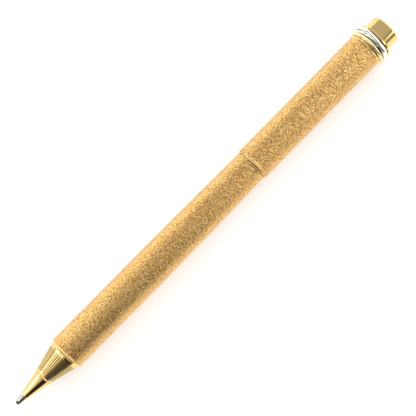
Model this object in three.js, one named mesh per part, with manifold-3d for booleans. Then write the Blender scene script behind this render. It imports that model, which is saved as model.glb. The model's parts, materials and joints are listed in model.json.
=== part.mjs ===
// Twist-feed lead holder: a slim round pencil in textured gold-plated brass, with three loose rings
// under its crown. Turning the upper barrel drives a spiral, which pushes the lead out of the tip or
// draws it back. The upper barrel pulls off to show the eraser and the spare leads.
//
// Millimetres, +Z up. The holder lies on its side along X, with the writing tip at -X and the crown
// at +X. The origin is on the surface it rests on, under the middle of its length.
import * as THREE from "three";
import { mergeVertices } from "three/addons/utils/BufferGeometryUtils.js";
import Module from "manifold-3d";

const wasm = await Module();
wasm.setup();

// Driving dimensions. A station is a distance from the writing tip along the axis.
const LENGTH = 136; // tip of the lead to the end of the crown
const UPPER_RADIUS = 4.9; // upper barrel
const LOWER_RADIUS = 4.93; // lower barrel, over its front half
const SEAM_RADIUS = 4.55; // lower barrel, where the upper barrel meets it
const TAPER_START = 40; // station where the lower barrel starts to slim
const LEAD_RADIUS = 0.59; // 1.18 mm lead

const SLEEVE_MOUTH = 0.8; // stations of the joins, from the tip to the crown
const CONE_MOUTH = 2.8;
const NOSE_FRONT = 9.4;
const BARREL_FRONT = 17.7;
const SEAM = 85.2;
const COLLAR = 127.55;
const RING_GAP = 128.15;
const FLANGE = 131.2;
const CROWN = 131.7;

const FIT = 0.05; // gap between two pieces that are fixed together
const LOWER_BORE = 4.3; // radius inside the lower barrel
const OUTER_SIDES = 40; // sides of the turned pieces that show
const INNER_SIDES = 24; // sides of the pieces inside
const LEAD_SIDES = 12;

const FLANGE_RADIUS = 5.3; // the widest fixed piece, which the holder rests on
const AXIS_HEIGHT = FLANGE_RADIUS * Math.cos(Math.PI / OUTER_SIDES);

// The feed: a ribbon spiral turns round a slotted tube, and a lug follows the gap between its turns.
const FEED_PER_TURN = 4;
const RIBBON_TURNS = 7;
const RIBBON_STEPS_PER_TURN = 16;
const RIBBON_WIDTH = 2.4;
const RIBBON_THICKNESS = 0.5;
const RIBBON_MEAN_RADIUS = 2.35;
const LUG_STATION = 42;
const SLOT_FRONT = 30;
const SLOT_REAR = 54;

// Materials
const metal = (color, roughness) =>
  new THREE.MeshStandardMaterial({ color, roughness, metalness: 1 });
const barkGold = metal(0xd9a94e, 0.45);
const polishedGold = metal(0xe8bf62, 0.12);
const paleGold = metal(0xe6d28c, 0.1);
const rhodium = metal(0xdcdcde, 0.08);
const steel = metal(0xb9bcc0, 0.25);
const brass = metal(0xc8a24c, 0.35);
const bronze = metal(0xa9763c, 0.4);
const graphite = new THREE.MeshStandardMaterial({ color: 0x3a3a3d, roughness: 0.5, metalness: 0.2 });
const eraserRubber = new THREE.MeshStandardMaterial({ color: 0xf1ece2, roughness: 0.9 });

// An outline is a list of [station, radius]. It starts and ends on the axis, or is closed here.
function lathe(outline, sides, middle = LENGTH / 2) {
  const points = outline.map(([station, radius]) => new THREE.Vector2(radius, station - middle));
  const onAxis = outline[0][1] === 0 && outline.at(-1)[1] === 0;
  if (!onAxis) points.push(points[0].clone());
  return new THREE.LatheGeometry(points, sides, Math.PI / sides);
}

// The outline of a plain tube.
const tube = (front, rear, inner, outer) => [
  [front, inner],
  [front, outer],
  [rear, outer],
  [rear, inner],
];

function piece(name, geometry, material) {
  const mesh = new THREE.Mesh(geometry, material);
  mesh.name = name;
  return mesh;
}

const turned = (name, outline, material, sides = INNER_SIDES) =>
  piece(name, lathe(outline, sides), material);

// Solids for boolean cuts
function solidOf(geometry) {
  const bare = geometry.clone();
  bare.deleteAttribute("normal");
  bare.deleteAttribute("uv");
  const merged = mergeVertices(bare, 1e-4);
  return new wasm.Manifold(
    new wasm.Mesh({
      numProp: 3,
      vertProperties: merged.attributes.position.array,
      triVerts: new Uint32Array(merged.index.array),
    }),
  );
}

function geometryOf(solid) {
  const mesh = solid.getMesh();
  return new THREE.BufferGeometry()
    .setAttribute("position", new THREE.BufferAttribute(mesh.vertProperties, 3))
    .setIndex(new THREE.BufferAttribute(mesh.triVerts, 1));
}

// The geometry with each of the cutters taken out of it.
function cut(geometry, cutters) {
  const left = cutters.reduce((solid, cutter) => solid.subtract(solidOf(cutter)), solidOf(geometry));
  return geometryOf(left);
}

// A box across the wall of a tube: it starts on the axis and reaches out, at an angle round the axis.
function wallCutter(width, front, rear, reach, angle = 0) {
  const box = new THREE.BoxGeometry(width, rear - front, reach);
  box.translate(0, (front + rear) / 2 - LENGTH / 2, reach / 2);
  return box.rotateY(angle);
}

// ---- Lower barrel: the nose, the textured sleeve and what is fixed inside them ----

// Steel guide that the lead runs in, pressed into the cone from behind up to its flange.
function leadSleeve() {
  const bore = 0.66;
  const outline = [
    [SLEEVE_MOUTH, bore],
    [SLEEVE_MOUTH, 0.74],
    [CONE_MOUTH, 0.93],
    [6.1, 0.93],
    [6.1, 1.2],
    [7, 1.2],
    [7, bore],
  ];
  return turned("lead_sleeve", outline, steel, 16);
}

// Plain polished cone, with a spigot that screws into the reeded cone.
function tipCone() {
  const shoulder = NOSE_FRONT - FIT;
  const outline = [
    [CONE_MOUTH, 0.98],
    [CONE_MOUTH, 1.12],
    [shoulder, 2.45],
    [shoulder, 1.9],
    [13.3, 1.9],
    [13.3, 1.27],
    [6.05, 1.27],
    [6.05, 0.98],
  ];
  return turned("tip_cone", outline, polishedGold, INNER_SIDES);
}

// Reeded cone, with a bead at its front edge and a spigot that screws into the barrel.
function noseCone() {
  const rear = BARREL_FRONT - FIT;
  const outline = [
    [NOSE_FRONT, 1.95],
    [NOSE_FRONT, 2.52],
    [NOSE_FRONT + 0.17, 2.62],
    [NOSE_FRONT + 0.4, 2.55],
    [rear - 0.1, 4.55],
    [rear, 4.48],
    [rear, 3.45],
    [23.5, 3.45],
    [23.5, 2.4],
    [13.5, 2.4],
    [13.5, 1.95],
  ];
  return turned("nose_cone", outline, polishedGold, OUTER_SIDES);
}

// Outer radius of the lower barrel: straight at first, then slimming along a parabola.
function lowerRadius(station) {
  const along = Math.max(0, (station - TAPER_START) / (SEAM - TAPER_START));
  return LOWER_RADIUS - (LOWER_RADIUS - SEAM_RADIUS) * along ** 2;
}

const LOWER_BARREL_REAR = SEAM - 0.1;

function lowerBarrel() {
  const taperSteps = 5;
  const outline = [
    [BARREL_FRONT, LOWER_BORE],
    [BARREL_FRONT, 4.72],
    [BARREL_FRONT + 0.3, LOWER_RADIUS],
  ];
  for (let i = 0; i <= taperSteps; i++) {
    const station = THREE.MathUtils.lerp(TAPER_START, LOWER_BARREL_REAR, i / taperSteps);
    outline.push([station, lowerRadius(station)]);
  }
  outline.push([LOWER_BARREL_REAR, LOWER_BORE]);
  return turned("lower_barrel", outline, barkGold, OUTER_SIDES);
}

// The slotted tube that keeps the lead carrier from turning. It is held in the nose.
function guideTube() {
  const whole = lathe(tube(14, 60, 1.5, 1.9), INNER_SIDES);
  const slot = wallCutter(1.1, SLOT_FRONT, SLOT_REAR, 3);
  return piece("guide_tube", cut(whole, [slot]), steel);
}

function rearBush() {
  const neckRadius = 4.1; // the upper barrel turns on this neck
  const outline = [
    [76.1, 3.2],
    [76.1, LOWER_BORE - FIT],
    [LOWER_BARREL_REAR + FIT, LOWER_BORE - FIT],
    [LOWER_BARREL_REAR + FIT, neckRadius],
    [90.8, neckRadius],
    [91, neckRadius - 0.2],
    [91, 3.2],
  ];
  return turned("rear_bush", outline, brass);
}

function lowerAssembly() {
  const group = new THREE.Group();
  group.add(
    leadSleeve(),
    tipCone(),
    noseCone(),
    lowerBarrel(),
    turned("front_bush", tube(BARREL_FRONT + FIT, 24.5, 3.5, LOWER_BORE - FIT), brass),
    turned("lower_liner", tube(24.6, 76, 4, LOWER_BORE - FIT), brass),
    turned("guide_bush", tube(16, 22, 1.95, 2.35), bronze),
    guideTube(),
    rearBush(),
  );
  return group;
}

// ---- Drive: everything that the upper barrel turns ----

// A flat ribbon wound into a helix: a long box, bent round the axis as it climbs.
function driveSpiral() {
  const turn = 2 * Math.PI;
  const sweep = RIBBON_TURNS * turn;
  const steps = RIBBON_TURNS * RIBBON_STEPS_PER_TURN;
  const ribbon = new THREE.BoxGeometry(RIBBON_THICKNESS, RIBBON_WIDTH, sweep, 1, 1, steps);
  ribbon.translate(0, 0, sweep / 2);
  // At rest the lug stands on the +Z side, a quarter turn on, midway between the third and fourth turns.
  const start = LUG_STATION - LENGTH / 2 - FEED_PER_TURN * (3 + 3 / 4);
  const place = ribbon.getAttribute("position");
  for (let i = 0; i < place.count; i++) {
    const radius = RIBBON_MEAN_RADIUS + place.getX(i);
    const angle = place.getZ(i);
    const climb = start + (FEED_PER_TURN * angle) / turn;
    place.setXYZ(i, radius * Math.cos(angle), climb + place.getY(i), radius * Math.sin(angle));
  }
  return piece("drive_spiral", ribbon, brass);
}

// Split steel ring that stops the drive tube from sliding out of the rear bush.
function retainingRing() {
  const whole = lathe(tube(75.2, 75.9, 3.15, 3.5), INNER_SIDES);
  return piece("retaining_ring", cut(whole, [wallCutter(1.6, 75, 76.1, 4)]), steel);
}

// Springy split sleeve on the hub: it grips the upper barrel, which is pushed on over it.
function gripSleeve() {
  const whole = lathe(tube(93, 99, 3.95, 4.15), INNER_SIDES);
  const slits = [0, 1, 2, 3].map((i) => wallCutter(0.6, 94.5, 100, 5, (i * Math.PI) / 2));
  return piece("grip_sleeve", cut(whole, slits), steel);
}

const SPARE_LEADS = 3;

function spareLead(index) {
  const spread = 1.2; // distance of each lead from the axis
  const angle = (index * 2 * Math.PI) / SPARE_LEADS;
  const lead = turned(
    "spare_lead_" + (index + 1),
    [
      [64, 0],
      [64, LEAD_RADIUS],
      [100, LEAD_RADIUS],
      [100, 0],
    ],
    graphite,
    LEAD_SIDES,
  );
  lead.position.set(spread * Math.cos(angle), 0, spread * Math.sin(angle));
  return lead;
}

function driveAssembly() {
  const group = new THREE.Group();
  const plug = [
    [61, 0],
    [61, 2.68],
    [62.5, 2.68],
    [62.5, 0],
  ];
  group.add(
    turned("drive_bearing", tube(23.9, 25.3, 1.98, 2.7), bronze),
    turned("drive_tube", tube(23.8, 108, 2.8, 3.1), brass),
    driveSpiral(),
    turned("magazine_plug", plug, brass),
    retainingRing(),
    turned("thrust_washer", tube(91.05, 91.5, 3.2, 3.95), bronze),
    turned("drive_hub", tube(91.55, 100, 3.15, 3.9), brass),
    gripSleeve(),
  );
  for (let i = 0; i < SPARE_LEADS; i++) group.add(spareLead(i));
  return group;
}

// ---- Carrier: what slides in the guide tube and pushes the lead ----

function carrierAssembly() {
  const group = new THREE.Group();
  const lead = [
    [0, 0],
    [0.08, 0.3],
    [0.45, LEAD_RADIUS],
    [33.8, LEAD_RADIUS],
    [33.8, 0],
  ];
  const body = [
    [34.1, 0],
    [34.1, 1.4],
    [44, 1.4],
    [44, 0],
  ];
  const lug = new THREE.BoxGeometry(0.8, 1, 0.9);
  lug.translate(0, LUG_STATION - LENGTH / 2, 1.43 + 0.45);
  group.add(
    turned("lead", lead, graphite, LEAD_SIDES),
    turned("lead_chuck", tube(27, 34.05, 0.66, 1.2), brass),
    turned("lead_carrier", body, steel),
    piece("carrier_lug", lug, steel),
  );
  return group;
}

// ---- Eraser, in a metal cup that plugs the end of the drive tube ----

function eraserAssembly() {
  const group = new THREE.Group();
  const ferrule = [
    [104, 0],
    [104, 2.68],
    [108.05, 2.68],
    [108.05, 3.1],
    [108.5, 3.1],
    [108.5, 2.95],
    [112, 2.95],
    [112, 2.65],
    [108.6, 2.65],
    [108.6, 0],
  ];
  const rubber = [
    [108.65, 0],
    [108.65, 2.6],
    [114.4, 2.6],
    [114.9, 2.3],
    [115.1, 1.6],
    [115.1, 0],
  ];
  group.add(
    turned("eraser_ferrule", ferrule, brass),
    turned("eraser", rubber, eraserRubber),
  );
  return group;
}

// ---- Upper barrel, which turns to feed the lead and pulls off ----

function topCollar() {
  const outline = [
    [122.6, 1.8],
    [122.6, 4.15],
    [COLLAR, 4.15],
    [COLLAR, LOWER_RADIUS],
    [RING_GAP - 0.12, LOWER_RADIUS],
    [RING_GAP, LOWER_RADIUS - 0.12],
    [RING_GAP, 1.8],
  ];
  return turned("top_collar", outline, polishedGold, OUTER_SIDES);
}

function crown() {
  const radius = 4.3;
  const edge = 0.45; // chamfer round the flat end
  const outline = [
    [134.2, 0],
    [134.2, 1.8],
    [FLANGE, 1.8],
    [FLANGE, FLANGE_RADIUS],
    [CROWN, FLANGE_RADIUS],
    [CROWN, radius],
    [LENGTH - edge, radius],
    [LENGTH, radius - edge],
    [LENGTH, 0],
  ];
  return turned("crown", outline, polishedGold, OUTER_SIDES);
}

function upperAssembly() {
  const group = new THREE.Group();
  const stud = [
    [122.7, 0],
    [122.7, 1.7],
    [134, 1.7],
    [134, 0],
  ];
  group.add(
    turned("seam_ring", tube(SEAM + FIT, 85.65, 4.25, UPPER_RADIUS), polishedGold, OUTER_SIDES),
    turned("upper_barrel", tube(85.7, COLLAR - FIT, 4.55, UPPER_RADIUS), barkGold, OUTER_SIDES),
    turned("upper_liner", tube(85.75, COLLAR - 2 * FIT, 4.2, 4.5), brass),
    topCollar(),
    turned("ring_spindle", tube(RING_GAP + FIT, FLANGE - FIT, 1.8, 3.9), rhodium),
    turned("crown_stud", stud, steel),
    crown(),
  );
  return group;
}

// ---- Three loose rings on the spindle, each lying on the surface that the holder lies on ----

// A band with a flat inside and a domed outside, turned about its own middle.
function ring(name, { station, inner, outer, width, tilt, lift }, material) {
  const thickness = outer - inner;
  const outline = [[-width / 2, inner]];
  for (const across of [-1, -0.55, 0, 0.55, 1]) {
    const dome = 0.45 + 0.55 * Math.sqrt(1 - across ** 2);
    outline.push([(across * width) / 2, inner + thickness * dome]);
  }
  outline.push([width / 2, inner]);
  const mesh = piece(name, lathe(outline, OUTER_SIDES, 0), material);
  mesh.position.set(0, station - LENGTH / 2, lift);
  mesh.rotation.z = THREE.MathUtils.degToRad(tilt);
  return mesh;
}

const RINGS = {
  ring_front: { station: 128.65, inner: 4.75, outer: 5.5, width: 0.9, tilt: 0, lift: 0.22 },
  ring_inner: { station: 130.15, inner: 4.62, outer: 5.15, width: 1.0, tilt: 5.2, lift: 0.4 },
  ring_outer: { station: 130.15, inner: 5.25, outer: 5.72, width: 1.0, tilt: -4.7, lift: 0.44 },
};

function ringSet() {
  const group = new THREE.Group();
  const finishes = { ring_front: paleGold, ring_inner: rhodium, ring_outer: rhodium };
  for (const [name, sizes] of Object.entries(RINGS)) group.add(ring(name, sizes, finishes[name]));
  return group;
}

// Everything is made upright along Y, then laid down along X at the height of the axis.
const holder = new THREE.Group();
holder.add(
  lowerAssembly(),
  driveAssembly(),
  carrierAssembly(),
  eraserAssembly(),
  upperAssembly(),
  ringSet(),
);
holder.rotation.z = -Math.PI / 2;
holder.position.z = AXIS_HEIGHT;

const leadHolder = new THREE.Group();
leadHolder.add(holder);

export default leadHolder;
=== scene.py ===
import json
import math

import bpy
from mathutils import Matrix, Vector


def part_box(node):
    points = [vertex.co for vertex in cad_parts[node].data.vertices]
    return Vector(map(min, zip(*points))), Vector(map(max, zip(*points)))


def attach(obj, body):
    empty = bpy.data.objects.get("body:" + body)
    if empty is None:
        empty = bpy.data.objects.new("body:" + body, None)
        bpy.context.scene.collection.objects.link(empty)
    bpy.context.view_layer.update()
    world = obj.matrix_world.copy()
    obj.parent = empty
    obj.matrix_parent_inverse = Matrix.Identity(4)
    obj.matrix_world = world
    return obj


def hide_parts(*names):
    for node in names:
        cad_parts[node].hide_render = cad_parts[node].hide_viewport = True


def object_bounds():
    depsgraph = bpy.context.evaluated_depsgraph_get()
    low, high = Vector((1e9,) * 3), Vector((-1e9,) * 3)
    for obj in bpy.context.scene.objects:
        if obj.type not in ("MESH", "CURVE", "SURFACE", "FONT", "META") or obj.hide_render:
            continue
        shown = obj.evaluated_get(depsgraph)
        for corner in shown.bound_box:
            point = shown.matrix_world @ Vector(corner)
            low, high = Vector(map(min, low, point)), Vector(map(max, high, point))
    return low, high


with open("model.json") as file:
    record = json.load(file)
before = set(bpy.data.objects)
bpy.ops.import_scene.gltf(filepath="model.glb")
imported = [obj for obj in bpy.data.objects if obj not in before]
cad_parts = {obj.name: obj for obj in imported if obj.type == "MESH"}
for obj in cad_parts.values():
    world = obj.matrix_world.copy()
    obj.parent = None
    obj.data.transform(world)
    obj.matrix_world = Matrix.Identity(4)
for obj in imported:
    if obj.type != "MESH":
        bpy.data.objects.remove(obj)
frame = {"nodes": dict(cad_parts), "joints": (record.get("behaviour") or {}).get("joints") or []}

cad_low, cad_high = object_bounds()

# ---- Lead ----
# A round graphite lead of 1.18 mm, worn to a blunt point. It stands a little way out of its sleeve
# and runs back into the chuck that pushes it.

MM = 0.001
AXIS_Z = sum(corner.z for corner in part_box("crown")) / 2
TIP_X = cad_low.x
SHARP_ANGLE = math.radians(38)


def at(station):
    """The place along the axis, in metres, of a station counted in millimetres from the tip."""
    return TIP_X + station * MM


def span(node):
    """Front and rear of a round CAD node along the axis and its radius, in metres."""
    low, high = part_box(node)
    return low.x, high.x, (high.z - low.z) / 2


def rounded(outline, edge, closed):
    """The outline with an arc of radius edge, in metres, in place of each corner that has room."""
    if not edge:
        return outline
    soft = []
    for i, here in enumerate(outline):
        ends = not closed and i in (0, len(outline) - 1)
        before, after = Vector(outline[i - 1]), Vector(outline[(i + 1) % len(outline)])
        here = Vector(here)
        back, ahead = before - here, after - here
        if ends or back.angle(ahead) > math.radians(150):
            soft.append(tuple(here))
            continue
        cut = min(edge, 0.45 * back.length, 0.45 * ahead.length)
        start, end = here + back.normalized() * cut, here + ahead.normalized() * cut
        for step in range(5):
            t = step / 4
            soft.append(tuple((1 - t) ** 2 * start + 2 * t * (1 - t) * here + t * t * end))
    return soft


def turned(name, outline, sides=128, edge=0.04 * MM):
    """A mesh turned on the axis from an outline of (x, radius), in metres.
    The outline goes forward edge first and out before in; it closes on itself unless it starts and
    ends on the axis."""
    closed = outline[0][1] > 0 or outline[-1][1] > 0
    outline = rounded(outline, edge, closed)
    points, faces, rings = [], [], []
    for x, radius in outline:
        first = len(points)
        count = sides if radius > 1e-7 else 1
        for i in range(count):
            turn = 2 * math.pi * i / count
            points.append((x, radius * math.cos(turn), AXIS_Z + radius * math.sin(turn)))
        rings.append([first + i % count for i in range(sides + 1)])
    pairs = list(zip(rings, rings[1:] + rings[:1])) if closed else list(zip(rings, rings[1:]))
    for near, far in pairs:
        for i in range(sides):
            corners = [near[i], near[i + 1], far[i + 1], far[i]]
            face = list(dict.fromkeys(corners))
            if len(face) > 2:
                faces.append(face)
    mesh = bpy.data.meshes.new(name)
    mesh.from_pydata(points, [], faces)
    mesh.shade_smooth()
    mesh.set_sharp_from_angle(angle=SHARP_ANGLE)
    made = bpy.data.objects.new(name, mesh)
    bpy.context.scene.collection.objects.link(made)
    return made


def fit(made, node, body, material):
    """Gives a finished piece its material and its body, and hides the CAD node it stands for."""
    made.data.materials.clear()
    made.data.materials.append(material)
    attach(made, body)
    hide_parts(node)
    return made


def colour(code):
    """A linear colour with alpha from an sRGB hex code."""
    parts = [int(code[i : i + 2], 16) / 255 for i in (0, 2, 4)]
    return [p / 12.92 if p <= 0.04045 else ((p + 0.055) / 1.055) ** 2.4 for p in parts] + [1]


def add(tree, kind, sockets=None, **settings):
    """Adds a node to a tree. A socket's value is a number, a vector, the output that feeds it, or a
    node whose first output does."""
    made = tree.nodes.new(kind)
    for key, value in settings.items():
        setattr(made, key, value)
    for key, value in (sockets or {}).items():
        if isinstance(value, bpy.types.Node):
            value = value.outputs[0]
        if isinstance(value, bpy.types.NodeSocket):
            tree.links.new(value, made.inputs[key])
        else:
            made.inputs[key].default_value = value
    return made


def material(name, **constants):
    """A new material with its tree, its shader and its Object coordinates."""
    made = bpy.data.materials.new(name)
    made.use_nodes = True
    tree = made.node_tree
    shader = tree.nodes["Principled BSDF"]
    for key, value in constants.items():
        shader.inputs[key.replace("_", " ")].default_value = value
    place = add(tree, "ShaderNodeTexCoord").outputs["Object"]
    return made, tree, shader, place


# Extruded graphite: dark grey with the soft sheen of a lead that has been drawn through a die.
GRAPHITE_GRAIN = 0.15 * MM
graphite, tree, shader, place = material("Graphite", Roughness=0.42, Metallic=0.35)
grains = add(tree, "ShaderNodeTexNoise", {"Vector": place, "Scale": 1 / GRAPHITE_GRAIN, "Detail": 3.0})
tones = add(tree, "ShaderNodeValToRGB", {"Fac": grains.outputs["Fac"]})
tones.color_ramp.elements[0].color = colour("2E2E31")
tones.color_ramp.elements[1].color = colour("6B6B70")
tree.links.new(tones.outputs["Color"], shader.inputs["Base Color"])
relief = add(tree, "ShaderNodeBump", {"Height": grains.outputs["Fac"], "Distance": 0.01 * MM})
tree.links.new(relief.outputs["Normal"], shader.inputs["Normal"])

front, rear, radius = span("lead")
point = 0.5 * MM
worn = [(front + point * (1 - math.cos(t)), radius * math.sin(t) ** 0.8) for t in
        (math.pi / 2 * i / 8 for i in range(9))]
lead = turned("graphite_lead", [*worn, (rear, radius), (rear, 0)], sides=48, edge=0)
fit(lead, "lead", "carrier", graphite)

# ---- Lead sleeve ----
# A turned steel tube in which the lead slides. It is pressed into the tip cone from behind, and
# only its tapered mouth shows.


def turning_lines(tree, place, pitch, depth):
    """The normal of a surface with fine lines round it, left by a lathe or a polishing wheel."""
    reach = 50 * MM
    lines = add(tree, "ShaderNodeMapping", {"Vector": place, "Scale": (1 / pitch, 1 / reach, 1 / reach)})
    cuts = add(tree, "ShaderNodeTexNoise", {"Vector": lines.outputs["Vector"], "Scale": 1.0, "Detail": 2.0})
    made = add(tree, "ShaderNodeBump", {"Height": cuts.outputs["Fac"], "Distance": depth})
    return made.outputs["Normal"]


# Stainless steel with the fine rings of the lathe, which stretch its highlights across the tube.
STEEL_MOTTLE = 0.8 * MM
steel, tree, shader, place = material("Turned stainless steel", Metallic=1.0)
shader.inputs["Base Color"].default_value = colour("BDB8A6")
mottle = add(tree, "ShaderNodeTexNoise", {"Vector": place, "Scale": 1 / STEEL_MOTTLE, "Detail": 4.0})
dull = add(tree, "ShaderNodeMapRange", {"Value": mottle.outputs["Fac"], "To Min": 0.06, "To Max": 0.12})
tree.links.new(dull.outputs["Result"], shader.inputs["Roughness"])
tree.links.new(turning_lines(tree, place, pitch=0.06 * MM, depth=0.004 * MM), shader.inputs["Normal"])

front, rear, flange = span("lead_sleeve")
bore, mouth, shank = 0.62 * MM, 0.74 * MM, 0.92 * MM
cone_mouth, shank_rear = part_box("tip_cone")[0].x, at(6.1)
sleeve = turned(
    "lead_sleeve_tube",
    [(front, bore), (front, mouth), (cone_mouth, shank), (shank_rear, shank), (shank_rear, flange),
     (rear, flange), (rear, bore)],
    sides=64,
)
fit(sleeve, "lead_sleeve", "barrel", steel)

# ---- Tip cone ----
# The plain cone that closes the nose, turned from brass, polished and plated with gold. A spigot
# behind it screws into the reeded cone.

# Polished gold plate: a clear reflection, with the faintest lines of the polishing wheel.
GOLD_SMEAR = 1.5 * MM
polished_gold, tree, shader, place = material("Polished gold plate", Metallic=1.0)
shader.inputs["Base Color"].default_value = colour("F5D48F")
smears = add(tree, "ShaderNodeTexNoise", {"Vector": place, "Scale": 1 / GOLD_SMEAR, "Detail": 3.0})
dull = add(tree, "ShaderNodeMapRange", {"Value": smears.outputs["Fac"], "To Min": 0.03, "To Max": 0.06})
tree.links.new(dull.outputs["Result"], shader.inputs["Roughness"])
tree.links.new(turning_lines(tree, place, pitch=0.08 * MM, depth=0.001 * MM), shader.inputs["Normal"])

front, rear, radius = span("tip_cone")
JOINT_GAP = 0.05 * MM
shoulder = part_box("nose_cone")[0].x - JOINT_GAP
bore, mouth, spigot = 0.98 * MM, 1.12 * MM, 1.88 * MM
flange_bore, flange_seat = 1.26 * MM, at(6.05)
cone = turned(
    "polished_tip_cone",
    [(front, bore), (front, mouth), (shoulder, radius), (shoulder, spigot), (rear, spigot),
     (rear, flange_bore), (flange_seat, flange_bore), (flange_seat, bore)],
    edge=0.06 * MM,
)
fit(cone, "tip_cone", "barrel", polished_gold)

# ---- Reeded nose cone ----
# The second cone of the nose, in polished gold plate. A bead stands at its front edge, and fine
# straight flutes are cut all round it, with a narrow plain band behind them. They are drawn a little
# coarser than real ones, so that they show.

# The depth of a cut and half its width are shares of the flutes' spacing.
FLUTES = 40
CUT_DEPTH, CUT_HALF_WIDTH = 0.2, 0.2
REEDING_FRONT, REEDING_REAR, REEDING_FADE = at(10.1), at(16.7), 0.3 * MM


def group(name, **inputs):
    """A Geometry Nodes tree with a geometry input, named inputs and a geometry output."""
    tree = bpy.data.node_groups.new(name, "GeometryNodeTree")
    tree.interface.new_socket("Geometry", in_out="INPUT", socket_type="NodeSocketGeometry")
    for key, kind in inputs.items():
        tree.interface.new_socket(key.replace("_", " "), in_out="INPUT", socket_type="NodeSocket" + kind)
    tree.interface.new_socket("Geometry", in_out="OUTPUT", socket_type="NodeSocketGeometry")
    return tree, add(tree, "NodeGroupInput").outputs


def finish_group(tree, geometry, finish):
    """Ends a tree: instances made real, and the material set."""
    real = add(tree, "GeometryNodeRealizeInstances", {"Geometry": geometry})
    coated = add(tree, "GeometryNodeSetMaterial", {"Geometry": real, "Material": finish})
    add(tree, "NodeGroupOutput", {"Geometry": coated})


def shaped(piece, tree, **values):
    """Runs a Geometry Nodes tree on a piece and keeps the result as its plain mesh."""
    modifier = piece.modifiers.new(tree.name, "NODES")
    modifier.node_group = tree
    ids = {item.name: item.identifier for item in tree.interface.items_tree if item.in_out == "INPUT"}
    for key, value in values.items():
        modifier[ids[key.replace("_", " ")]] = value
    depsgraph = bpy.context.evaluated_depsgraph_get()
    mesh = bpy.data.meshes.new_from_object(piece.evaluated_get(depsgraph))
    piece.modifiers.clear()
    piece.data = mesh
    mesh.name = piece.name
    return piece


def polar(tree, axis_height):
    """Place on a round piece: station along X, radius, angle, and the unit vector out from the axis."""
    here = add(tree, "GeometryNodeInputPosition").outputs["Position"]
    part = add(tree, "ShaderNodeSeparateXYZ", {"Vector": here}).outputs
    height = add(tree, "ShaderNodeMath", {0: part["Z"], 1: axis_height}, operation="SUBTRACT")
    across = add(tree, "ShaderNodeCombineXYZ", {"Y": part["Y"], "Z": height})
    radius = add(tree, "ShaderNodeVectorMath", {0: across}, operation="LENGTH").outputs["Value"]
    outward = add(tree, "ShaderNodeVectorMath", {0: across}, operation="NORMALIZE").outputs["Vector"]
    angle = add(tree, "ShaderNodeMath", {0: height, 1: part["Y"]}, operation="ARCTAN2")
    return here, part["X"], radius, angle, outward


def outer_skin(tree, outward):
    """One on faces that look away from the axis, and nought on the bore and the ends."""
    least_facing = 0.6
    normal = add(tree, "GeometryNodeInputNormal").outputs["Normal"]
    facing = add(tree, "ShaderNodeVectorMath", {0: normal, 1: outward}, operation="DOT_PRODUCT")
    return add(tree, "ShaderNodeMath", {0: facing.outputs["Value"], 1: least_facing},
               operation="GREATER_THAN")


def between(tree, x, front, rear, fade):
    """One between two stations and nought outside them, with a smooth change over the fade."""
    past_front = add(tree, "ShaderNodeMath", {0: x, 1: front}, operation="SUBTRACT")
    before_rear = add(tree, "ShaderNodeMath", {0: rear, 1: x}, operation="SUBTRACT")
    rising, falling = (
        add(tree, "ShaderNodeMapRange", {"Value": distance, "From Min": 0.0, "From Max": fade},
            interpolation_type="SMOOTHSTEP")
        for distance in (past_front, before_rear)
    )
    return add(tree, "ShaderNodeMath", {0: rising, 1: falling}, operation="MULTIPLY")


def move_in(tree, geometry, outward, amount):
    """The geometry with each point moved towards the axis by an amount."""
    inward = add(tree, "ShaderNodeMath", {0: amount, 1: -1.0}, operation="MULTIPLY")
    offset = add(tree, "ShaderNodeVectorMath", {0: outward, "Scale": inward}, operation="SCALE")
    return add(tree, "GeometryNodeSetPosition", {"Geometry": geometry, "Offset": offset})


def arch(front, rear, foot, top, parts=12):
    """The outline of a bead or a domed band, as a half ellipse between two stations."""
    width, rise = rear - front, top - foot
    turns = [math.pi * i / parts for i in range(parts + 1)]
    return [(front + width * (1 - math.cos(t)) / 2, foot + rise * math.sin(t)) for t in turns]


# Each flute is a narrow V-shaped cut between flat ribs, as deep as a set share of the flutes' spacing.
# The count goes up by one from rib to rib, and its distance from the middle of a rib ends at 0.5, in
# the middle of a cut.
reeding, given = group(
    "Reeding", Flutes="Float", Depth="Float", Front="Float", Rear="Float", Axis_Height="Float",
    Finish="Material",
)
_, x, radius, angle, outward = polar(reeding, given["Axis Height"])
turned_by = add(reeding, "ShaderNodeMath", {0: angle, 1: given["Flutes"]}, operation="MULTIPLY")
count = add(reeding, "ShaderNodeMath", {0: turned_by, 1: 2 * math.pi}, operation="DIVIDE")
from_rib = add(reeding, "ShaderNodeMath", {0: count, 1: 0.5}, operation="PINGPONG")
cut = add(reeding, "ShaderNodeMapRange", {
    "Value": from_rib, "From Min": 0.5 - CUT_HALF_WIDTH, "From Max": 0.5,
})
girth = add(reeding, "ShaderNodeMath", {0: radius, 1: 2 * math.pi}, operation="MULTIPLY")
spacing = add(reeding, "ShaderNodeMath", {0: girth, 1: given["Flutes"]}, operation="DIVIDE")
depth = add(reeding, "ShaderNodeMath", {0: spacing, 1: given["Depth"]}, operation="MULTIPLY")
where = add(reeding, "ShaderNodeMath", {
    0: between(reeding, x, given["Front"], given["Rear"], REEDING_FADE),
    1: outer_skin(reeding, outward),
}, operation="MULTIPLY")
cut_depth = add(reeding, "ShaderNodeMath", {0: cut, 1: depth}, operation="MULTIPLY")
amount = add(reeding, "ShaderNodeMath", {0: cut_depth, 1: where}, operation="MULTIPLY")
finish_group(reeding, move_in(reeding, given["Geometry"], outward, amount), given["Finish"])
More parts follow.
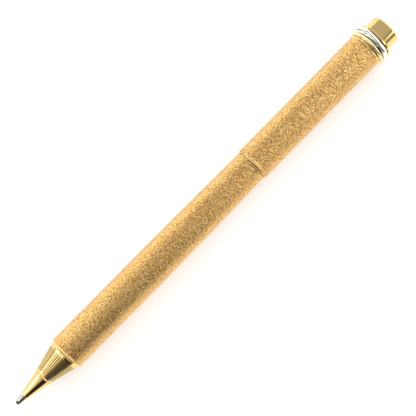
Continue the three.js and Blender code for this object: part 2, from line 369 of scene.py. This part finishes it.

# Reeded gold plate: the same plate, with painted shade that darkens the cuts between the ribs.
reeded_gold, tree, shader, place = material("Reeded gold plate", Metallic=1.0, Roughness=0.05)
part = add(tree, "ShaderNodeSeparateXYZ", {"Vector": place}).outputs
height = add(tree, "ShaderNodeMath", {0: part["Z"], 1: AXIS_Z}, operation="SUBTRACT")
turn = add(tree, "ShaderNodeMath", {0: height, 1: part["Y"]}, operation="ARCTAN2")
half_count = add(tree, "ShaderNodeMath", {0: turn, 1: FLUTES / 2}, operation="MULTIPLY")
wave = add(tree, "ShaderNodeMath", {0: half_count}, operation="COSINE")
from_cut = add(tree, "ShaderNodeMath", {0: wave}, operation="ABSOLUTE")
in_cut = add(tree, "ShaderNodeMapRange", {
    "Value": from_cut, "From Min": 0.45, "From Max": 0.75, "To Min": 1.0, "To Max": 0.0,
}, interpolation_type="SMOOTHSTEP")
reeded = between(tree, part["X"], REEDING_FRONT, REEDING_REAR, REEDING_FADE)
# Painted shade: the colour turns dark brown in the cuts, where shade falls between the ribs.
painted_cut_shade = add(tree, "ShaderNodeMath", {0: in_cut, 1: reeded}, operation="MULTIPLY")
tones = add(tree, "ShaderNodeValToRGB", {"Fac": painted_cut_shade})
tones.color_ramp.elements[0].color = colour("F5D48F")
tones.color_ramp.elements[1].color = colour("3A2A16")
tree.links.new(tones.outputs["Color"], shader.inputs["Base Color"])

front, rear, radius = span("nose_cone")
bead_width, bead_foot, bead_top = 0.36 * MM, 2.44 * MM, 2.68 * MM
groove_width, groove_flank, neck_radius = 0.14 * MM, 0.03 * MM, 2.54 * MM
spigot, back_bore, front_bore, bore_step = 3.44 * MM, 2.4 * MM, 1.95 * MM, at(13.5)
band_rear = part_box("lower_barrel")[0].x - JOINT_GAP
groove_rear = front + bead_width + groove_width
rear_groove_width, rear_groove_depth, rear_groove_flank = 0.34 * MM, 0.26 * MM, 0.04 * MM
cone_start, cone_end, cone_steps = groove_rear + groove_flank, band_rear - rear_groove_width, 44
sunk = radius - rear_groove_depth
shell = [(front, front_bore), *arch(front, front + bead_width, bead_foot, bead_top, parts=8)]
shell.append((groove_rear, bead_foot))
for i in range(cone_steps + 1):
    part_way = i / cone_steps
    shell.append((
        cone_start + (cone_end - cone_start) * part_way,
        neck_radius + (radius - neck_radius) * part_way,
    ))
shell += [
    (cone_end + rear_groove_flank, sunk), (band_rear, sunk), (band_rear, spigot), (rear, spigot),
    (rear, back_bore), (bore_step, back_bore), (bore_step, front_bore),
]
nose = turned("reeded_nose_cone", shell, sides=FLUTES * 12, edge=0.0)
shaped(nose, reeding, Flutes=float(FLUTES), Depth=CUT_DEPTH, Front=REEDING_FRONT, Rear=REEDING_REAR,
       Axis_Height=AXIS_Z, Finish=reeded_gold)
fit(nose, "nose_cone", "barrel", reeded_gold)

# ---- Lower barrel ----
# The long textured sleeve of rolled brass, plated with gold. Short random cuts along it give a bark
# finish, up to a polished lip at the front and a narrow smooth edge at the rear.

GRAIN_LENGTH, GRAIN_WIDTH, GRAIN_DEPTH = 0.62 * MM, 0.32 * MM, 0.12 * MM
SKIN_PITCH, BARK_FADE = 0.2 * MM, 0.25 * MM
BARREL_SIDES = 176

# Bark-finished gold plate: bright metal broken into small tilted facets, so that each catches the
# light by itself, with painted specks of darker and paler gold that stand in for shaded pits and
# glints. The finest cuts are drawn at 0.18 by 0.32 mm, coarser than the real ones, so that they show.
PAINTED_SPECKLE_SIZE, FACET_LENGTH, FACET_WIDTH, FACET_DEPTH = 0.38 * MM, 0.32 * MM, 0.18 * MM, 0.055 * MM
bark_gold, tree, shader, place = material("Bark-finished gold plate", Metallic=1.0)
painted_speckle = add(tree, "ShaderNodeTexNoise", {
    "Vector": place, "Scale": 1 / PAINTED_SPECKLE_SIZE, "Detail": 2.0, "Roughness": 0.6,
})
# Painted shade and painted glints: random specks of darker and paler gold take the place of shaded pits and
# bright facets. The same specks also vary the roughness.
tones = add(tree, "ShaderNodeValToRGB", {"Fac": painted_speckle.outputs["Fac"]})
tones.color_ramp.elements[0].position = 0.35
tones.color_ramp.elements[0].color = colour("BD8A48")
tones.color_ramp.elements.new(0.5).color = colour("EABA70")
tones.color_ramp.elements[2].position = 0.68
tones.color_ramp.elements[2].color = colour("FFDD9E")
tree.links.new(tones.outputs["Color"], shader.inputs["Base Color"])
cuts = add(tree, "ShaderNodeMapping", {
    "Vector": place, "Scale": (1 / FACET_LENGTH, 1 / FACET_WIDTH, 1 / FACET_WIDTH),
})
facets = add(tree, "ShaderNodeTexVoronoi", {"Vector": cuts.outputs["Vector"], "Scale": 1.0})
fine = add(tree, "ShaderNodeBump", {
    "Height": facets.outputs["Distance"], "Distance": FACET_DEPTH, "Strength": 1.0,
})
tree.links.new(fine.outputs["Normal"], shader.inputs["Normal"])
dull = add(tree, "ShaderNodeMapRange", {"Value": painted_speckle.outputs["Fac"], "To Min": 0.18, "To Max": 0.28})
tree.links.new(dull.outputs["Result"], shader.inputs["Roughness"])

# The bark: pebbles from cells stretched along the barrel, broken up by a softer unevenness.
bark, given = group(
    "Bark", Grain_Length="Float", Grain_Width="Float", Depth="Float", Front="Float", Rear="Float",
    Axis_Height="Float", Seed="Float", Finish="Material",
)
here, x, _, _, outward = polar(bark, given["Axis Height"])
per_length = add(bark, "ShaderNodeMath", {0: 1.0, 1: given["Grain Length"]}, operation="DIVIDE")
per_width = add(bark, "ShaderNodeMath", {0: 1.0, 1: given["Grain Width"]}, operation="DIVIDE")
stretch = add(bark, "ShaderNodeCombineXYZ", {"X": per_length, "Y": per_width, "Z": per_width})
grain_place = add(bark, "ShaderNodeVectorMath", {0: here, 1: stretch}, operation="MULTIPLY")
cells = add(bark, "ShaderNodeTexVoronoi", {
    "Vector": grain_place, "W": given["Seed"], "Scale": 1.0,
}, voronoi_dimensions="4D")
waves = add(bark, "ShaderNodeTexNoise", {
    "Vector": grain_place, "W": given["Seed"], "Scale": 0.9, "Detail": 2.0,
}, noise_dimensions="4D")
pebbles = add(bark, "ShaderNodeMath", {0: cells.outputs["Distance"], 1: 0.55}, operation="MULTIPLY")
swell = add(bark, "ShaderNodeMath", {0: waves.outputs["Fac"], 1: 0.75}, operation="MULTIPLY")
hollows = add(bark, "ShaderNodeMath", {0: pebbles, 1: swell}, operation="ADD")
low_cut = add(bark, "ShaderNodeMapRange", {"Value": hollows, "From Min": 0.3, "From Max": 1.0})
where = add(bark, "ShaderNodeMath", {
    0: between(bark, x, given["Front"], given["Rear"], BARK_FADE),
    1: outer_skin(bark, outward),
}, operation="MULTIPLY")
cut_depth = add(bark, "ShaderNodeMath", {0: low_cut, 1: given["Depth"]}, operation="MULTIPLY")
amount = add(bark, "ShaderNodeMath", {0: cut_depth, 1: where}, operation="MULTIPLY")
finish_group(bark, move_in(bark, given["Geometry"], outward, amount), given["Finish"])

front, rear, full_radius = span("lower_barrel")
seam_radius, bore = 4.53 * MM, 4.3 * MM
taper_start = at(40)
lip, smooth_edge = 0.48 * MM, 0.3 * MM


def skin(front, rear, radius_at, bore):
    """The outline of a sleeve whose outer skin has a point at each pitch of the mesh."""
    steps = round((rear - front) / SKIN_PITCH)
    stations = [front + (rear - front) * i / steps for i in range(steps + 1)]
    return [(front, bore), *((x, radius_at(x)) for x in stations), (rear, bore)]


def lower_radius(x):
    """Straight over its front half, then slimming to the seam."""
    along = max(0, (x - taper_start) / (rear - taper_start))
    return full_radius - (full_radius - seam_radius) * along ** 2


lower = turned("bark_lower_barrel", skin(front + lip, rear, lower_radius, bore), sides=BARREL_SIDES, edge=0)
shaped(lower, bark, Grain_Length=GRAIN_LENGTH, Grain_Width=GRAIN_WIDTH, Depth=GRAIN_DEPTH,
       Front=front + lip, Rear=rear - smooth_edge, Axis_Height=AXIS_Z, Seed=3.0, Finish=bark_gold)
fit(lower, "lower_barrel", "barrel", bark_gold)

# The polished lip is turned on the front edge of the sleeve, as a small bead.
bead = arch(front, front + lip, full_radius - 0.24 * MM, full_radius)
front_rim = turned("barrel_front_rim", [(front, bore), *bead, (front + lip, bore)], edge=0)
fit(front_rim, "lower_barrel", "barrel", polished_gold)

# ---- Bushes and neck in the lower barrel ----
# Turned brass bushes join the nose to the barrel and close its rear. The rear one makes the neck that
# shows when the upper barrel is pulled off. It is pressed into the lower barrel.

# Free-cutting brass, left as it came from the lathe: warm yellow with fine rings and dull patches.
BRASS_PATCH = 2.2 * MM
brass, tree, shader, place = material("Turned brass", Metallic=1.0)
patches = add(tree, "ShaderNodeTexNoise", {"Vector": place, "Scale": 1 / BRASS_PATCH, "Detail": 5.0})
tones = add(tree, "ShaderNodeValToRGB", {"Fac": patches.outputs["Fac"]})
tones.color_ramp.elements[0].color = colour("B98E45")
tones.color_ramp.elements[1].color = colour("DDBB70")
tree.links.new(tones.outputs["Color"], shader.inputs["Base Color"])
dull = add(tree, "ShaderNodeMapRange", {"Value": patches.outputs["Fac"], "To Min": 0.22, "To Max": 0.4})
tree.links.new(dull.outputs["Result"], shader.inputs["Roughness"])
tree.links.new(turning_lines(tree, place, pitch=0.09 * MM, depth=0.006 * MM), shader.inputs["Normal"])

# Bearing bronze: redder than brass, and oil has dulled it.
BRONZE_STAIN = 1.4 * MM
bronze, tree, shader, place = material("Bearing bronze", Metallic=1.0)
stains = add(tree, "ShaderNodeTexNoise", {"Vector": place, "Scale": 1 / BRONZE_STAIN, "Detail": 4.0})
tones = add(tree, "ShaderNodeValToRGB", {"Fac": stains.outputs["Fac"]})
tones.color_ramp.elements[0].color = colour("7E5230")
tones.color_ramp.elements[1].color = colour("B98250")
tree.links.new(tones.outputs["Color"], shader.inputs["Base Color"])
dull = add(tree, "ShaderNodeMapRange", {"Value": stains.outputs["Fac"], "To Min": 0.3, "To Max": 0.5})
tree.links.new(dull.outputs["Result"], shader.inputs["Roughness"])
tree.links.new(turning_lines(tree, place, pitch=0.08 * MM, depth=0.005 * MM), shader.inputs["Normal"])

front, rear, radius = span("rear_bush")
neck, shoulder, bore, chamfer = 4.08 * MM, at(85.15), 3.2 * MM, 0.2 * MM
bush = turned(
    "rear_bush_neck",
    [(front, bore), (front, radius), (shoulder, radius), (shoulder, neck), (rear - chamfer, neck),
     (rear, neck - chamfer), (rear, bore)],
)
fit(bush, "rear_bush", "barrel", brass)

# ---- Drive tube and hub ----
# A long brass tube turns with the upper barrel. The spiral is inside its front, the spare leads are
# behind that, and a hub with a springy split sleeve carries the upper barrel.

front, rear, radius = span("drive_tube")
bore = 2.79 * MM
tube = turned("drive_tube_body", [(front, bore), (front, radius), (rear, radius), (rear, bore)])
fit(tube, "drive_tube", "drive", brass)

front, rear, radius = span("thrust_washer")
bore = 3.2 * MM
washer = turned("bronze_thrust_washer", [(front, bore), (front, radius), (rear, radius), (rear, bore)])
fit(washer, "thrust_washer", "drive", bronze)

front, rear, radius = span("drive_hub")
bore, chamfer = 3.15 * MM, 0.3 * MM
groove_middle, groove_reach, groove_depth = front + 0.9 * MM, 0.2 * MM, 0.15 * MM
hub = turned(
    "drive_hub_body",
    [(front, bore), (front, radius), (groove_middle - groove_reach, radius),
     (groove_middle, radius - groove_depth), (groove_middle + groove_reach, radius),
     (rear - chamfer, radius), (rear, radius - chamfer), (rear, bore)],
)
fit(hub, "drive_hub", "drive", brass)

# ---- Grip sleeve ----
# Spring steel, rolled to a ring with four fingers that press on the inside of the upper barrel.

front, rear, radius = span("grip_sleeve")
inner, root = 3.95 * MM, at(94.5)
FINGERS = 4
slit = 0.6 * MM
steps = 24


def shell_plate(points, faces, front, rear, start, sweep, closed):
    """Adds a curved plate of the sleeve from one angle on through a sweep."""
    count = steps * (FINGERS if closed else 1)
    first = len(points)
    corners = [(front, inner), (front, radius), (rear, radius), (rear, inner)]
    for i in range(count if closed else count + 1):
        turn = start + sweep * i / count
        for x, r in corners:
            points.append((x, r * math.cos(turn), AXIS_Z + r * math.sin(turn)))
    ring_count = count if closed else count + 1
    for i in range(count):
        a, b = first + 4 * i, first + 4 * ((i + 1) % ring_count)
        for k in range(4):
            n = (k + 1) % 4
            faces.append((a + k, b + k, b + n, a + n))
    if not closed:
        last = first + 4 * count
        faces.append((first, first + 1, first + 2, first + 3))
        faces.append((last + 3, last + 2, last + 1, last))


points, faces = [], []
shell_plate(points, faces, front, root, 0, 2 * math.pi, True)
gap = slit / radius
for i in range(FINGERS):
    quarter = 2 * math.pi / FINGERS
    shell_plate(points, faces, root, rear, i * quarter + gap / 2, quarter - gap, False)
mesh = bpy.data.meshes.new("split_grip_sleeve")
mesh.from_pydata(points, [], faces)
mesh.shade_smooth()
mesh.set_sharp_from_angle(angle=SHARP_ANGLE)
sleeve = bpy.data.objects.new("split_grip_sleeve", mesh)
bpy.context.scene.collection.objects.link(sleeve)
fit(sleeve, "grip_sleeve", "drive", steel)

# ---- Eraser and its cup ----
# A thin turned brass cup plugs the end of the drive tube. It holds a short round eraser of white
# rubber, worn round at its end, and both pull out together.

# Eraser rubber: a matt, slightly warm white, with a powdery skin and grey smudges of lead.
SMUDGE, POWDER_GRAIN = 2.5 * MM, 0.12 * MM
rubber, tree, shader, place = material("White eraser rubber", Roughness=0.78)
smudges = add(tree, "ShaderNodeTexNoise", {
    "Vector": place, "Scale": 1 / SMUDGE, "Detail": 6.0, "Roughness": 0.65,
})
tones = add(tree, "ShaderNodeValToRGB", {"Fac": smudges.outputs["Fac"]})
tones.color_ramp.elements[0].position = 0.34
tones.color_ramp.elements[0].color = colour("CFC9BF")
tones.color_ramp.elements[1].position = 0.5
tones.color_ramp.elements[1].color = colour("F3EEE5")
tree.links.new(tones.outputs["Color"], shader.inputs["Base Color"])
powder = add(tree, "ShaderNodeTexNoise", {"Vector": place, "Scale": 1 / POWDER_GRAIN, "Detail": 3.0})
grain = add(tree, "ShaderNodeBump", {"Height": powder.outputs["Fac"], "Distance": 0.02 * MM, "Strength": 0.6})
tree.links.new(grain.outputs["Normal"], shader.inputs["Normal"])

front, rear, radius = span("eraser_ferrule")
plug, lip, bore, floor = 2.66 * MM, 2.93 * MM, 2.66 * MM, at(108.6)
flange_front, flange_rear = at(108.05), at(108.5)
cup = turned(
    "eraser_cup",
    [(front, 0), (front, plug), (flange_front, plug), (flange_front, radius), (flange_rear, radius),
     (flange_rear, lip), (rear, lip), (rear, bore), (floor, bore), (floor, 0)],
)
fit(cup, "eraser_ferrule", "eraser_plug", brass)

front, rear, radius = span("eraser")
crown_of_rubber = 0.9 * MM
worn = [(rear - crown_of_rubber * (1 - math.sin(t)), radius * (0.55 + 0.45 * math.cos(t))) for t in
        (math.pi / 2 * i / 8 for i in range(9))]
stub = turned("eraser_stub", [(front, 0), (front, radius), *worn, (rear, 0)], edge=0)
fit(stub, "eraser", "eraser_plug", rubber)

# ---- Upper barrel ----
# A second textured sleeve, a little larger than the lower one where they meet. A narrow polished
# ring closes its front edge, and a thin brass liner stiffens it.

front, rear, radius = span("seam_ring")
bore = 4.25 * MM
bead = arch(front, rear, radius - 0.2 * MM, radius)
ring = turned("seam_ring_bead", [(front, bore), *bead, (rear, bore)], edge=0)
fit(ring, "seam_ring", "upper", polished_gold)

front, rear, upper_radius = span("upper_barrel")
bore, smooth_edge = 4.55 * MM, 0.1 * MM
sleeve_outline = skin(front, rear, lambda x: upper_radius, bore)
upper = turned("bark_upper_barrel", sleeve_outline, sides=BARREL_SIDES, edge=0)
shaped(upper, bark, Grain_Length=GRAIN_LENGTH, Grain_Width=GRAIN_WIDTH, Depth=GRAIN_DEPTH,
       Front=front + smooth_edge, Rear=rear - smooth_edge, Axis_Height=AXIS_Z, Seed=8.0,
       Finish=bark_gold)
fit(upper, "upper_barrel", "upper", bark_gold)

front, rear, radius = span("upper_liner")
bore = 4.2 * MM
liner = turned("upper_barrel_liner", [(front, bore), (front, radius), (rear, radius), (rear, bore)])
fit(liner, "upper_liner", "upper", brass)

# ---- Collar, spindle and crown ----
# The collar closes the barrel with a polished rim. A steel stud runs through it and the spindle, and
# the crown screws down on that with a thin flange that keeps the loose rings on.

front, rear, radius = span("top_collar")
rim_front, plug, stud_bore = at(127.55), 4.13 * MM, 1.8 * MM
strip_rear, strip_radius = rim_front + 0.22 * MM, radius - 0.14 * MM
collar = turned(
    "top_collar_rim",
    [(front, stud_bore), (front, plug), (rim_front, plug), (rim_front, strip_radius),
     (strip_rear, strip_radius), *arch(strip_rear, rear, strip_radius, radius), (rear, stud_bore)],
    edge=0,
)
fit(collar, "top_collar", "upper", polished_gold)

# Rhodium plate, polished: a bright white metal with a very slight warmth.
RHODIUM_SMEAR = 1.1 * MM
rhodium, tree, shader, place = material("Polished rhodium plate", Metallic=1.0)
shader.inputs["Base Color"].default_value = colour("EFEBE6")
smears = add(tree, "ShaderNodeTexNoise", {"Vector": place, "Scale": 1 / RHODIUM_SMEAR, "Detail": 3.0})
dull = add(tree, "ShaderNodeMapRange", {"Value": smears.outputs["Fac"], "To Min": 0.03, "To Max": 0.09})
tree.links.new(dull.outputs["Result"], shader.inputs["Roughness"])

front, rear, radius = span("ring_spindle")
spindle = turned(
    "ring_spindle_body",
    [(front, stud_bore), (front, radius), (rear, radius), (rear, stud_bore)],
)
fit(spindle, "ring_spindle", "upper", rhodium)

front, rear, radius = span("crown")
head, flange_rear, socket_floor, edge_width = 4.29 * MM, at(131.7), at(134.2), 0.5 * MM
edge = [(rear - edge_width * (1 - math.sin(t)), head - edge_width * (1 - math.cos(t))) for t in
        (math.pi / 2 * i / 10 for i in range(11))]
crown = turned(
    "crown_cap",
    [(socket_floor, 0), (socket_floor, stud_bore), (front, stud_bore), (front, radius),
     (flange_rear, radius), (flange_rear, head), *edge, (rear, 0)],
    edge=0.05 * MM,
)
fit(crown, "crown", "upper", polished_gold)

# ---- Loose rings ----
# Three plain bands with a flat inside and a domed outside lie loose on the spindle. The front one is
# in pale gold and the others in white plate, and two of them lie tilted against each other.

# Pale gold plate, polished: paler and greener than the gold of the barrels.
PALE_GOLD_SMEAR = 1.1 * MM
pale_gold, tree, shader, place = material("Polished pale gold plate", Metallic=1.0)
shader.inputs["Base Color"].default_value = colour("F4E3B0")
smears = add(tree, "ShaderNodeTexNoise", {"Vector": place, "Scale": 1 / PALE_GOLD_SMEAR, "Detail": 3.0})
dull = add(tree, "ShaderNodeMapRange", {"Value": smears.outputs["Fac"], "To Min": 0.04, "To Max": 0.1})
tree.links.new(dull.outputs["Result"], shader.inputs["Roughness"])


def loose_ring(name, node, body, finish, spin, width, thickness):
    """A band with a domed outside, turned square to the axis and then tilted to its own spin axis."""
    inside_its_box, edge_share = 0.998, 0.45
    low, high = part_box(node)
    centre = (low + high) / 2
    radius = inside_its_box * (high.z - low.z) / 2
    inner = radius - thickness
    dome = arch(-width / 2, width / 2, inner + edge_share * thickness, radius)
    outline = [(-width / 2, inner), *dome, (width / 2, inner)]
    made = turned(name, outline, sides=160, edge=0)
    axis = Vector(next(joint["axis"] for joint in frame["joints"] if joint["name"] == spin))
    tilt = Vector((1, 0, 0)).rotation_difference(axis).to_matrix().to_4x4()
    made.data.transform(Matrix.Translation(centre) @ tilt @ Matrix.Translation((0, 0, -AXIS_Z)))
    return fit(made, node, body, finish)


loose_ring("loose_ring_front", "ring_front", "front_ring", pale_gold, "front_ring_spin",
           width=0.9 * MM, thickness=0.73 * MM)
loose_ring("loose_ring_inner", "ring_inner", "inner_ring", rhodium, "inner_ring_spin",
           width=1.0 * MM, thickness=0.51 * MM)
loose_ring("loose_ring_outer", "ring_outer", "outer_ring", rhodium, "outer_ring_spin",
           width=1.0 * MM, thickness=0.45 * MM)

# ---- Pieces that stay hidden inside ----
# The feed inside the barrels: bushes, bearing, spiral, chuck, carrier, spare leads and stud. These keep
# the solids they were designed with, and each gets the material it is made of.

INSIDE = {
    "front_bush": brass, "lower_liner": brass, "guide_bush": bronze, "guide_tube": steel,
    "drive_bearing": bronze, "drive_spiral": brass, "magazine_plug": brass, "retaining_ring": steel,
    "spare_lead_1": graphite, "spare_lead_2": graphite, "spare_lead_3": graphite,
    "lead_chuck": brass, "lead_carrier": steel, "carrier_lug": steel, "crown_stud": steel,
}
for name, finish in INSIDE.items():
    hidden = frame["nodes"][name]
    hidden.data.materials.clear()
    hidden.data.materials.append(finish)

# ---- Studio ----
# A white light table in a pale room, a lamp with a wide diffuser on each side, and a camera above
# that looks almost straight down.

# Opal acrylic sheet of a light table: matt white, and lit from below, which keeps its shadows pale.
opal, _, shader, _ = material("Opal acrylic sheet", Roughness=0.9)
shader.inputs["Base Color"].default_value = colour("F7F5F3")
shader.inputs["Specular IOR Level"].default_value = 0.1
shader.inputs["Emission Color"].default_value = colour("FFFFFF")
shader.inputs["Emission Strength"].default_value = 0.33
mesh = bpy.data.meshes.new("table")
half = 4.0
corners = [(-half, -half, 0), (half, -half, 0), (half, half, 0), (-half, half, 0)]
mesh.from_pydata(corners, [], [(0, 1, 2, 3)])
mesh.materials.append(opal)
table = bpy.data.objects.new("table", mesh)
bpy.context.scene.collection.objects.link(table)


def lamp(name, direction, distance, width, height, power):
    """A rectangular diffuser that faces the middle of the holder."""
    data = bpy.data.lights.new(name, "AREA")
    data.shape = "RECTANGLE"
    data.size, data.size_y = width, height
    data.energy = power
    made = bpy.data.objects.new(name, data)
    bpy.context.scene.collection.objects.link(made)
    made.location = Vector(direction).normalized() * distance
    made.rotation_euler = Vector(direction).to_track_quat("Z", "Y").to_euler()
    return made


lamp("left_lamp", (-0.51, 0.73, 0.46), distance=0.6, width=0.24, height=0.28, power=0.55)
lamp("right_lamp", (0.33, -0.70, 0.63), distance=0.6, width=0.16, height=0.3, power=0.22)

# The room as the metal mirrors it: pale walls that are dimmer behind the right lamp, a bright window
# towards the crown, a dark corner and a lit panel towards the tip, and a low glow on the left.
world = bpy.data.worlds.new("Studio")
world.use_nodes = True
tree = world.node_tree
look = add(tree, "ShaderNodeTexCoord").outputs["Generated"]
part = add(tree, "ShaderNodeSeparateXYZ", {"Vector": look}).outputs


def patch(direction, edge, core, outside, inside):
    """A level of light that changes smoothly from outside to inside a round patch of the room. The
    edge and the core of the patch are cosines of angles from its direction."""
    middle = Vector(direction).normalized()
    nearness = add(tree, "ShaderNodeVectorMath", {0: look, 1: middle}, operation="DOT_PRODUCT")
    return add(tree, "ShaderNodeMapRange", {
        "Value": nearness.outputs["Value"], "From Min": edge, "From Max": core, "To Min": outside,
        "To Max": inside,
    }, interpolation_type="SMOOTHSTEP")


walls = add(tree, "ShaderNodeMapRange", {
    "Value": part["Y"], "From Min": -0.85, "From Max": -0.2, "To Min": 0.33, "To Max": 0.55,
}, interpolation_type="SMOOTHSTEP")
from_window = add(tree, "ShaderNodeMath", {0: part["X"], 1: 0.68}, operation="SUBTRACT")
off_window = add(tree, "ShaderNodeMath", {0: from_window}, operation="ABSOLUTE")
window = add(tree, "ShaderNodeMapRange", {
    "Value": off_window, "From Min": 0.1, "From Max": 0.24, "To Min": 2.2, "To Max": 0.0,
}, interpolation_type="SMOOTHSTEP")
corner = patch((-0.58, -0.62, 0.53), edge=0.82, core=0.94, outside=1.0, inside=0.06)
panel = patch((-0.62, 0.3, 0.66), edge=0.9, core=0.98, outside=0.0, inside=0.7)
glow = patch((0.05, 1.0, 0.0), edge=0.93, core=1.0, outside=0.0, inside=2.2)
bare_room = add(tree, "ShaderNodeMath", {0: walls, 1: window}, operation="ADD")
room = add(tree, "ShaderNodeMath", {0: bare_room, 1: corner}, operation="MULTIPLY")
lit = add(tree, "ShaderNodeMath", {0: panel, 1: glow}, operation="ADD")
level = add(tree, "ShaderNodeMath", {0: room, 1: lit}, operation="ADD")
backdrop = tree.nodes["Background"]
tree.links.new(level.outputs["Value"], backdrop.inputs["Strength"])
backdrop.inputs["Color"].default_value = colour("FFFFFF")
bpy.context.scene.world = world

# The camera hangs over the lower barrel, 270 mm above the axis, and leans a little towards the crown.
# Its focal length is counted in widths of the picture.
CAMERA_HEIGHT, CAMERA_X, CAMERA_Y = 0.27, at(49.71), 0.24 * MM
LEAN, ROLL, FOCAL, SENSOR = math.radians(4.18), math.radians(45.46), 1050 / 416, 36
forward = Vector((math.sin(LEAN), 0, -math.cos(LEAN)))
along = Vector((math.cos(LEAN), 0, math.sin(LEAN)))
sideways = Vector((0, 1, 0))
right = math.cos(ROLL) * along - math.sin(ROLL) * sideways
up = math.sin(ROLL) * along + math.cos(ROLL) * sideways
camera_data = bpy.data.cameras.new("camera")
camera_data.sensor_width = SENSOR
camera_data.lens = SENSOR * FOCAL
camera_data.clip_start, camera_data.clip_end = 0.01, 10
camera = bpy.data.objects.new("camera", camera_data)
bpy.context.scene.collection.objects.link(camera)
camera.matrix_world = Matrix.Translation((CAMERA_X, CAMERA_Y, AXIS_Z + CAMERA_HEIGHT)) @ Matrix(
    (right, up, -forward)
).transposed().to_4x4()
bpy.context.scene.camera = camera
bpy.context.scene.view_settings.view_transform = "Standard"
